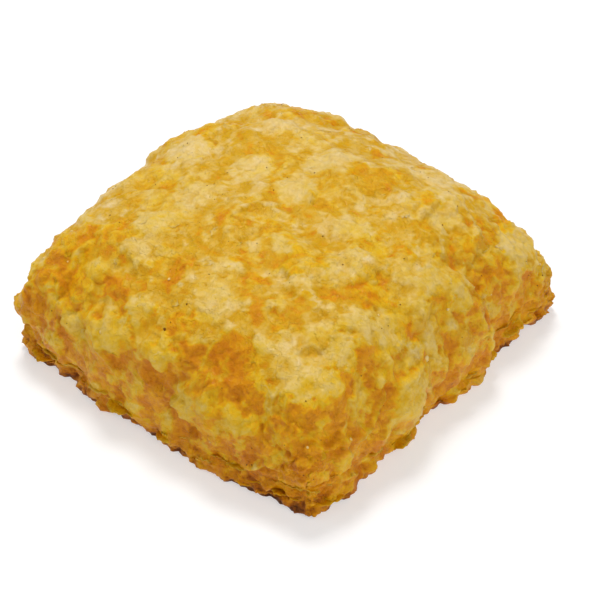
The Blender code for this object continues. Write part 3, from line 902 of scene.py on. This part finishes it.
def bakedCheeseCrust():
    # melted cheese baked onto puff pastry: cream where it has puffed, yellow and glazed where it lies thin,
    # orange where it has toasted, brown at the edges; greasy, with a fine crinkled grain
    look = crustLook
    material, tree, shader = shadedMaterial("bakedCheeseCrust")
    place = addNode(tree, "ShaderNodeTexCoord").outputs["Object"]
    browningAndPaintedLight, hollow, toast = (
        addNode(tree, "ShaderNodeAttribute", attribute_name=name).outputs["Fac"]
        for name in ("browningAndPaintedLight", "hollow", "toast"))
    flakeNoise = noiseNode(tree, place, *look["flakes"])
    grainNoise = noiseNode(tree, place, *look["grain"])
    calm = look["toastCalm"]
    spread = mathNode(tree, "MULTIPLY_ADD", toast, -look["toneSpread"] * calm, look["toneSpread"])
    offMiddle = mathNode(tree, "SUBTRACT", flakeNoise, 0.5)
    tone = mathNode(tree, "MULTIPLY_ADD", offMiddle, spread, browningAndPaintedLight)
    sheets = []
    for size, offset in look["sheetPlaces"]:
        moved = addNode(tree, "ShaderNodeVectorMath", {0: place, 1: (offset, 0, 0)}, operation="ADD")
        sheetNoise = noiseNode(tree, moved.outputs["Vector"], size, *look["sheets"])
        sheets.append(rangeNode(tree, sheetNoise, look["sheetEdge"], interpolation_type="SMOOTHSTEP"))
    stacked = mathNode(tree, "ADD", *sheets)
    stackedOff = mathNode(tree, "SUBTRACT", 1.0, stacked)
    spread = mathNode(tree, "MULTIPLY_ADD", toast, -look["sheetTone"] * calm, look["sheetTone"])
    tone = mathNode(tree, "MULTIPLY_ADD", stackedOff, spread, tone)
    grainOff = mathNode(tree, "SUBTRACT", 0.5, grainNoise)
    tone = mathNode(tree, "MULTIPLY_ADD", grainOff, look["grainSpread"], tone)
    baked = addNode(tree, "ShaderNodeValToRGB", {"Fac": tone}, stops=look["stops"]).outputs["Color"]
    thinNoise = noiseNode(tree, place, *look["thin"])
    thin = rangeNode(tree, thinNoise, look["thinEdge"], (0, look["thinMost"]), interpolation_type="SMOOTHSTEP")
    # the glaze is stronger in the lows, which is partly painted shade
    glazeShare = mathNode(tree, "MULTIPLY_ADD", hollow, look["glazeMost"], thin, use_clamp=True)
    glazed = addNode(tree, "ShaderNodeMix", {0: glazeShare, 6: baked, 7: linearColour(look["glaze"])},
                     data_type="RGBA", blend_type="MULTIPLY").outputs[2]
    gloss = rangeNode(tree, grainNoise, look["glossRange"], look["roughness"])
    normal = bumpNode(tree, stacked, look["sheetThickness"])
    normal = bumpNode(tree, flakeNoise, look["crinkleDistance"], Normal=normal)
    normal = bumpNode(tree, grainNoise, look["grainDistance"], Normal=normal)
    setInputs(tree, shader, look["shader"])
    setInputs(tree, shader, {"Base Color": glazed, "Roughness": gloss, "Normal": normal, "Coat Normal": normal})
    return material


crustMaterial = bakedCheeseCrust()
baseFace = [sideLoops[-1][::-1].tolist()]
# this tone holds real browning together with painted light and shade
crustPiece = addPiece("crust", crustPoints, [*quads.tolist(), *baseFace], crustMaterial,
                      {"browningAndPaintedLight": tone, "hollow": hollow, "toast": toast})
crustPiece.data.polygons[len(quads)].use_smooth = False
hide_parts("pastry")
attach(crustPiece, "root")
print("crust:", len(crustPoints), "points")


# Flakes: thin sheets of pastry whose root is in the crust and whose free edge stands out

sideFlakes = {
    "count": 34,
    "length": (5 * mm, 11 * mm),
    "reach": (1.6 * mm, 3.4 * mm),
    "root": 2.2 * mm,
    "thickness": 0.38 * mm,
    "lift": (-0.2, 0.55),
    "turn": 0.25,
    "down": (0.08, 0.85),
    "ragged": 0.65,
    "round": 0.45,
    "taper": 0.35,
    "seed": 5,
    "raggedPoints": 5,
    "stepAround": 0.02,
    "floorGap": 0.5 * mm,
    "grid": (13, 6),  # points along and across each
    "aboveBand": 0.45,  # share of the reach where the skin hangs over them
    "ripple": 0.25 * mm,
    "rippleRate": 9,
    "edgeThinner": 0.6,
    "tone": 0.62,
    "toneOnBand": 0.20,
    "toneAtEdge": -0.22,
    "toneNoise": (4 * mm, 95, 0.10),
    "hollow": 0.3,
}


def sheetMesh(tops, bottoms):
    # closes each pair of grids of points (sheet, row, column) into one thin solid, all sheets at once
    sheets, rows, columns = tops.shape[:3]
    points = np.concatenate([tops.reshape(-1, 3), bottoms.reshape(-1, 3)])
    index = np.arange(sheets * rows * columns).reshape(sheets, rows, columns)
    under = index + sheets * rows * columns
    top = np.stack([index[:, :-1, :-1], index[:, :-1, 1:], index[:, 1:, 1:], index[:, 1:, :-1]], axis=-1)
    bottom = np.stack([under[:, :-1, :-1], under[:, 1:, :-1], under[:, 1:, 1:], under[:, :-1, 1:]], axis=-1)
    ends = (index[:, 0, :-1], index[:, :-1, -1], index[:, -1, :0:-1], index[:, :0:-1, 0])
    rim = np.concatenate(ends, axis=1)
    lower = rim + sheets * rows * columns
    edge = np.stack([rim, lower, np.roll(lower, -1, axis=1), np.roll(rim, -1, axis=1)], axis=-1)
    return points, np.concatenate([part.reshape(-1, 4) for part in (top, bottom, edge)])


def sideSpot(around, downward):
    # a point of the side and its directions outward and along; around runs 0 to 4, 1 for each side
    def onEdge(place):
        side, share = int(place) % 4, 2 * (place % 1) - 1
        acrossAt, alongAt = ((share, -1), (1, share), (-share, 1), (-1, -share))[side]
        return pillowPoints(np.array([acrossAt]), np.array([alongAt]), np.array([downward]))

    point, step = onEdge(around), sideFlakes["stepAround"]
    run = (onEdge(around + step) - onEdge(around - step))[0] * np.array([1, 1, 0])
    run /= np.linalg.norm(run)
    out = np.array([run[1], -run[0], 0])
    stands = skinHeight(point)[0] + sideHeight(point, np.array([downward]))[0]
    return point[0] + out * stands, out, run


def sheetShares(give):
    # places along each sheet from -1 to 1, and out from its root from 0 to 1
    lengthPoints, outPoints = give["grid"]
    return np.meshgrid(np.linspace(-1, 1, lengthPoints), np.linspace(0, 1, outPoints), indexing="ij")


def halfThickness(give, out):
    # half the thickness upwards, thinner towards the free edge
    return np.array([0, 0, give["thickness"] / 2]) * (1 - give["edgeThinner"] * out)[..., None]


def bigSideFlakes():
    # each sheet runs out from the side, narrows, frays and ripples; the same draws place the solid's own flakes
    give = sideFlakes
    rng = np.random.default_rng(give["seed"])
    share, out = sheetShares(give)
    sheets = []
    for number in range(give["count"]):
        around = (number + rng.uniform(0, 1)) * 4 / give["count"]
        spot, outwards, run = sideSpot(around, rng.uniform(*give["down"]))
        halfLength, reach = rng.uniform(*give["length"]) / 2, rng.uniform(*give["reach"])
        lift, turn = rng.uniform(*give["lift"]), rng.uniform(-give["turn"], give["turn"])
        ragged = rng.uniform(give["ragged"], 1.0, give["raggedPoints"])
        reach *= give["aboveBand"] + (1 - give["aboveBand"]) * bandShare(spot[None])[0]
        edge = np.interp(share, np.linspace(-1, 1, give["raggedPoints"]), ragged)
        edge *= 1 - give["round"] * share**2
        distance = out * (give["root"] + reach * edge) - give["root"]
        sideways = share * halfLength * (1 - give["taper"] * out)
        ripple = give["ripple"] * np.sin(share * give["rippleRate"] + number) * out
        up = lift * np.maximum(distance, 0) + turn * sideways + ripple
        place = spot + outwards * distance[..., None] + run * sideways[..., None]
        place[..., 2] += up
        sheets.append(place)
    middle = np.array(sheets) + toFrame
    middle[..., 2] = np.maximum(middle[..., 2], give["thickness"] + give["floorGap"])
    return middle, halfThickness(give, out), out


def sheetTone(give, points):
    # browner on the layered band, with a noise
    size, seed, amount = give["toneNoise"]
    return give["tone"] + give["toneOnBand"] * bandShare(points) + amount * noise(points, size, seed)


middle, half, out = bigSideFlakes()
points, faces = sheetMesh(middle - half, middle + half)
freeEdge = np.tile(np.broadcast_to(out, middle.shape[:3]).ravel(), 2)
sideTone = sheetTone(sideFlakes, points) + sideFlakes["toneAtEdge"] * freeEdge
sidePiece = addPiece("sideFlakes", points, faces, crustMaterial, {
    "browningAndPaintedLight": sideTone, "hollow": sideFlakes["hollow"] * (1 - freeEdge)})
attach(sidePiece, "root")
print("side flakes:", sideFlakes["count"])


crustNormals = vertexNormals(crustPoints, quads)
lidPlaces, lidNormals, lidTone = crustPoints[lidGrid], crustNormals[lidGrid], tone[lidGrid][..., None]
sidePlaces = crustPoints[np.concatenate([sideLoops, sideLoops[:, :1]], axis=1)]


def sampleGrid(grid, row, column):
    # blends the four points of a grid around each place between its rows and columns
    top = np.clip(np.floor(row).astype(int), 0, grid.shape[0] - 2)
    left = np.clip(np.floor(column).astype(int), 0, grid.shape[1] - 2)
    downShare, sideShare = (row - top)[..., None], (column - left)[..., None]
    upper = grid[top, left] * (1 - sideShare) + grid[top, left + 1] * sideShare
    lower = grid[top + 1, left] * (1 - sideShare) + grid[top + 1, left + 1] * sideShare
    return upper * (1 - downShare) + lower * downShare


smallFlakes = {
    "count": 160,
    "length": (1.5 * mm, 6.0 * mm),
    "reach": (0.2 * mm, 0.9 * mm),
    "root": 0.6 * mm,
    "thickness": 0.20 * mm,
    "lift": (-0.5, 0.9),
    "ripple": 0.18 * mm,
    "rippleRate": 7,
    "ripplePhase": (0, 6),
    "rows": (1, 19),  # rows of the side that carry them
    "floorGap": 0.3 * mm,
    "grid": (9, 4),
    "taper": 0.3,
    "lookAlong": 1.5,  # columns to each side that give the side's direction
    "edgeThinner": 0.6,
    "tone": 0.56,
    "toneOnBand": 0.20,
    "toneNoise": (4 * mm, 97, 0.12),
    "seed": 8,
}
lidFlakes = {
    "count": 170,
    "length": (1.0 * mm, 4.5 * mm),
    "reach": (0.7 * mm, 2.6 * mm),
    "lift": (-0.05 * mm, 0.16 * mm),
    "thickness": 0.09 * mm,
    "sunk": 0.14 * mm,
    "nearEdge": 0.90,  # share of them that lies on the shoulders and near the corners
    "edgePull": (0.35, 0.95),
    "margin": 8,
    "grid": (7, 5),
    "taper": 0.25,
    "liftPower": 1.6,
    "edgeThinner": 0.5,
    "seed": 9,
}


frayed = {"least": 0.55, "round": 0.55}
fineEdge = {"tone": -0.14, "hollow": 0.15}  # paler at the free edge, with some fat at the root


def draw(rng, limits, count):
    # even random numbers between two limits, shaped to spread over grids of rows and columns
    return rng.uniform(*limits, (count, 1, 1))


def raggedEdge(rng, count, share):
    # for each sheet an edge that wavers between the least and 1, and runs out round at both ends
    steps = rng.uniform(frayed["least"], 1.0, (count, share.shape[0]))
    return steps[:, :, None] * (1 - frayed["round"] * share**2)


def smallSideFlakes():
    # sheets that follow the side's own points along a row, stand out level, tilt and ripple
    give = smallFlakes
    rng = np.random.default_rng(give["seed"])
    share, out = sheetShares(give)
    count, columns = give["count"], sidePlaces.shape[1] - 1
    row = draw(rng, give["rows"], count) + 0 * out
    middle = draw(rng, (0, columns), count)
    step = np.linalg.norm(sidePlaces[0, 1:] - sidePlaces[0, :-1], axis=1)[middle.astype(int) % columns]
    halfLength = draw(rng, give["length"], count) / 2
    column = (middle + share * halfLength / step * (1 - give["taper"] * out)) % columns
    here = sampleGrid(sidePlaces, row, column)
    ahead = sampleGrid(sidePlaces, row, (column + give["lookAlong"]) % columns)
    behind = sampleGrid(sidePlaces, row, (column - give["lookAlong"]) % columns)
    run = (ahead - behind) * np.array([1, 1, 0])
    run /= np.linalg.norm(run, axis=-1, keepdims=True)
    outwards = np.stack([run[..., 1], -run[..., 0], 0 * out + 0 * middle], axis=-1)
    reach = draw(rng, give["reach"], count) * raggedEdge(rng, count, share)
    distance = out * (give["root"] + reach) - give["root"]
    place = here + outwards * distance[..., None]
    phase = draw(rng, give["ripplePhase"], count)
    ripple = give["ripple"] * np.sin(share * give["rippleRate"] + phase) * out
    place[..., 2] += draw(rng, give["lift"], count) * np.maximum(distance, 0) + ripple
    place[..., 2] = np.maximum(place[..., 2], give["floorGap"])
    return place, halfThickness(give, out), out, sheetTone(give, place.reshape(-1, 3))


def liftedLidFlakes():
    # sheets that follow the lid's own points in a slanted patch, sunk at the root and lifted at the free edge
    give = lidFlakes
    rng = np.random.default_rng(give["seed"])
    share, out = sheetShares(give)
    count, cells = give["count"], crust["lidCells"]
    rows, columns = rng.uniform(give["margin"], cells - give["margin"], (2, count))
    onEdge = rng.uniform(size=count) < give["nearEdge"]
    closer = np.where(rng.uniform(size=count) < 0.5, give["margin"], cells - give["margin"])
    pull = rng.uniform(*give["edgePull"], count) * onEdge
    swap = rng.uniform(size=count) < 0.5
    rows = np.where(swap, rows + (closer - rows) * pull, rows)
    columns = np.where(swap, columns, columns + (closer - columns) * pull)
    rows, columns = rows[:, None, None], columns[:, None, None]
    here = sampleGrid(lidPlaces, rows, columns)
    rowStep = np.linalg.norm(sampleGrid(lidPlaces, rows + 1, columns) - here, axis=-1)
    columnStep = np.linalg.norm(sampleGrid(lidPlaces, rows, columns + 1) - here, axis=-1)
    turn = draw(rng, (0, 2 * np.pi), count)
    sideways = share * draw(rng, give["length"], count) / 2 * (1 - give["taper"] * out)
    forwards = out * draw(rng, give["reach"], count) * raggedEdge(rng, count, share)
    rowShift = (sideways * np.cos(turn) + forwards * np.sin(turn)) / rowStep
    columnShift = (forwards * np.cos(turn) - sideways * np.sin(turn)) / columnStep
    at = (np.clip(rows + rowShift, 0, cells), np.clip(columns + columnShift, 0, cells))
    normal = sampleGrid(lidNormals, *at)
    rise = draw(rng, give["lift"], count) * out ** give["liftPower"] - give["sunk"] * (1 - out)
    place = sampleGrid(lidPlaces, *at) + normal * rise[..., None]
    half = normal * give["thickness"] / 2 * (1 - give["edgeThinner"] * out)[..., None]
    return place, half, out, sampleGrid(lidTone, rows + 0 * out, columns + 0 * out).ravel()


for name, make in (("smallSideFlakes", smallSideFlakes), ("lidFlakes", liftedLidFlakes)):
    middle, half, out, browningAndPaintedLight = make()
    points, faces = sheetMesh(middle - half, middle + half)
    freeEdge = np.tile(np.broadcast_to(out, middle.shape[:3]).ravel(), 2)
    piece = addPiece(name, points, faces, crustMaterial, {
        "browningAndPaintedLight": np.tile(browningAndPaintedLight, 2) + fineEdge["tone"] * freeEdge,
        "hollow": fineEdge["hollow"] * (1 - freeEdge)})
    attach(piece, "root")
    print(name + ":", len(middle))


# Loose bits: pale crumbs of pastry, and dark specks of pepper and toasted flour

bits = {
    "crumbs": {
        "count": 16, "radius": (0.20 * mm, 0.42 * mm), "flat": 0.5, "sunk": 0.15, "rough": 0.35, "seed": 12,
        "own": ((50.8, -5.0, 0.8),),  # x and y on the lid and radius, in millimetres
        "look": ("paleCrumb", "#E6CB84", 0.6),
    },
    "specks": {
        "count": 130, "radius": (0.10 * mm, 0.21 * mm), "flat": 0.5, "sunk": 0.1, "rough": 0.3, "seed": 13,
        "own": ((3.0, -45.0, 0.55),), "look": ("darkSpeck", "#7A4A10", 0.6),
    },
}
bitShape = {"rings": 5, "around": 8, "margin": 4}  # points of each, and cells kept free along the edge


def plainMaterial(name, colour, roughness):
    # one even colour: pale dry crumb or dark burnt speck
    material, tree, shader = shadedMaterial(name)
    specular = crustLook["shader"]["Specular IOR Level"]
    setInputs(tree, shader, {
        "Base Color": linearColour(colour), "Roughness": roughness, "Specular IOR Level": specular})
    return material


def bitMesh(give):
    # balls of rings and poles, flattened along the skin's normal, with uneven radii
    rng = np.random.default_rng(give["seed"])
    count, cells = give["count"], crust["lidCells"]
    row, column = rng.uniform(bitShape["margin"], cells - bitShape["margin"], (2, count))
    radius = rng.uniform(*give["radius"], count)
    flatPlaces = lidPlaces[..., :2].reshape(-1, 2)
    for x, y, ownRadius in give["own"]:
        nearest = np.argmin(((flatPlaces - np.array([x, y]) * mm) ** 2).sum(axis=1))
        row = np.append(row, nearest // (cells + 1))
        column = np.append(column, nearest % (cells + 1))
        radius = np.append(radius, ownRadius * mm)
    count = len(radius)
    centre, normal = sampleGrid(lidPlaces, row, column), sampleGrid(lidNormals, row, column)
    first = np.cross(normal, rng.normal(size=(count, 3)))
    first /= np.linalg.norm(first, axis=1, keepdims=True)
    second = np.cross(normal, first)
    rings, around = bitShape["rings"], bitShape["around"]
    ringAngles = np.linspace(0, np.pi, rings + 2)[1:-1]
    turns = np.arange(around) * 2 * np.pi / around
    slant, turn = (grid.ravel() for grid in np.meshgrid(ringAngles, turns, indexing="ij"))
    slant, turn = np.append(slant, [0, np.pi]), np.append(turn, [0, 0])
    uneven = radius[:, None] * (1 + give["rough"] * rng.uniform(-1, 1, (count, len(slant))))
    points = centre[:, None] + normal[:, None] * (radius * give["sunk"])[:, None, None]
    points = points + first[:, None] * (uneven * np.sin(slant) * np.cos(turn))[..., None]
    points = points + second[:, None] * (uneven * np.sin(slant) * np.sin(turn))[..., None]
    points = points + normal[:, None] * (uneven * np.cos(slant) * give["flat"])[..., None]
    ring = np.arange(rings * around).reshape(rings, around)
    following = np.roll(ring, -1, axis=1)
    belts = np.stack([ring[:-1], ring[1:], following[1:], following[:-1]], axis=-1).reshape(-1, 4)
    top = [(ring.size, a, b) for a, b in zip(ring[0], following[0])]
    bottom = [(ring.size + 1, b, a) for a, b in zip(ring[-1], following[-1])]
    shape = [*belts.tolist(), *top, *bottom]
    each = ring.size + 2
    faces = [[int(corner) + each * number for corner in face] for number in range(count) for face in shape]
    return points.reshape(-1, 3), faces


for name, give in bits.items():
    piece = addPiece(name, *bitMesh(give), plainMaterial(*give["look"]))
    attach(piece, "root")
    print(name + ":", give["count"] + len(give["own"]))


# The camera stands where the photo's did, and soft light comes from above and behind

cameraView = {
    "azimuth": 39.8,
    "elevation": 40.2,
    "distance": 500 * mm,
    "target": (0.0, 0.0, 15 * mm),
    "scale": 3.889,  # pixels of the photo for each millimetre at the target
    "targetPixel": (278.0, 284.0),  # where the target is in the photo
    "frame": 600,
    "sensor": 36.0,
}


def addCamera():
    # it looks at a point beside the target, so that the target lands on its pixel
    look = cameraView
    azimuth, elevation = np.radians(look["azimuth"]), np.radians(look["elevation"])
    right = Vector((np.cos(azimuth), np.sin(azimuth), 0))
    level = np.cos(elevation)
    back = Vector((np.sin(azimuth) * level, -np.cos(azimuth) * level, np.sin(elevation)))
    up = back.cross(right)
    target = Vector(look["target"])
    position = target + back * look["distance"]
    aside = (look["frame"] / 2 - look["targetPixel"][0]) / look["scale"] * mm
    lower = (look["frame"] / 2 - look["targetPixel"][1]) / look["scale"] * mm
    aim = target + right * aside - up * lower
    data = bpy.data.cameras.new("photoCamera")
    data.sensor_width = look["sensor"]
    data.lens = look["scale"] / mm * look["distance"] / look["frame"] * look["sensor"]
    camera = bpy.data.objects.new("photoCamera", data)
    forward = (position - aim).normalized()
    sideways = Vector((0, 0, 1)).cross(forward).normalized()
    turn = Matrix((sideways, forward.cross(sideways), forward)).transposed()
    camera.matrix_world = Matrix.Translation(position) @ turn.to_4x4()
    bpy.context.scene.collection.objects.link(camera)
    bpy.context.scene.camera = camera


addCamera()

lights = {
    "key": {"place": (-0.24, 0.20, 0.85), "size": 0.26, "power": 5.3},
    "fill": {"place": (0.75, -0.15, 0.50), "size": 0.60, "power": 2.5},
    "side": {"place": (-0.50, -0.55, 0.45), "size": 0.60, "power": 1.1},
}
for name, light in lights.items():
    data = bpy.data.lights.new(name, "AREA")
    data.size = light["size"]
    data.energy = light["power"]
    lamp = bpy.data.objects.new(name, data)
    lamp.location = light["place"]
    lamp.rotation_euler = Vector(light["place"]).to_track_quat("Z", "Y").to_euler()
    bpy.context.scene.collection.objects.link(lamp)

worldLook = {"colour": "#FFFFFF", "strength": 0.32}
world = bpy.data.worlds.new("studio")
world.use_nodes = True
setInputs(world.node_tree, world.node_tree.nodes["Background"], {
    "Color": linearColour(worldLook["colour"]), "Strength": worldLook["strength"]})
bpy.context.scene.world = world
bpy.context.scene.view_settings.view_transform = "Standard"

floorLook = {"half": 3.0, "colour": "#C8C8C8", "glowColour": "#FFFFFF", "roughness": 0.8, "glow": 0.45}
floorMaterial, floorTree, floorShader = shadedMaterial("paleStudioFloor")
setInputs(floorTree, floorShader, {
    "Base Color": linearColour(floorLook["colour"]), "Roughness": floorLook["roughness"],
    "Emission Color": linearColour(floorLook["glowColour"]), "Emission Strength": floorLook["glow"]})
corners = floorLook["half"] * np.array([(-1, -1, 0), (1, -1, 0), (1, 1, 0), (-1, 1, 0)])
floorPiece = addPiece("studioFloor", corners, [(0, 1, 2, 3)], floorMaterial)
print("camera, lights and floor are in place")
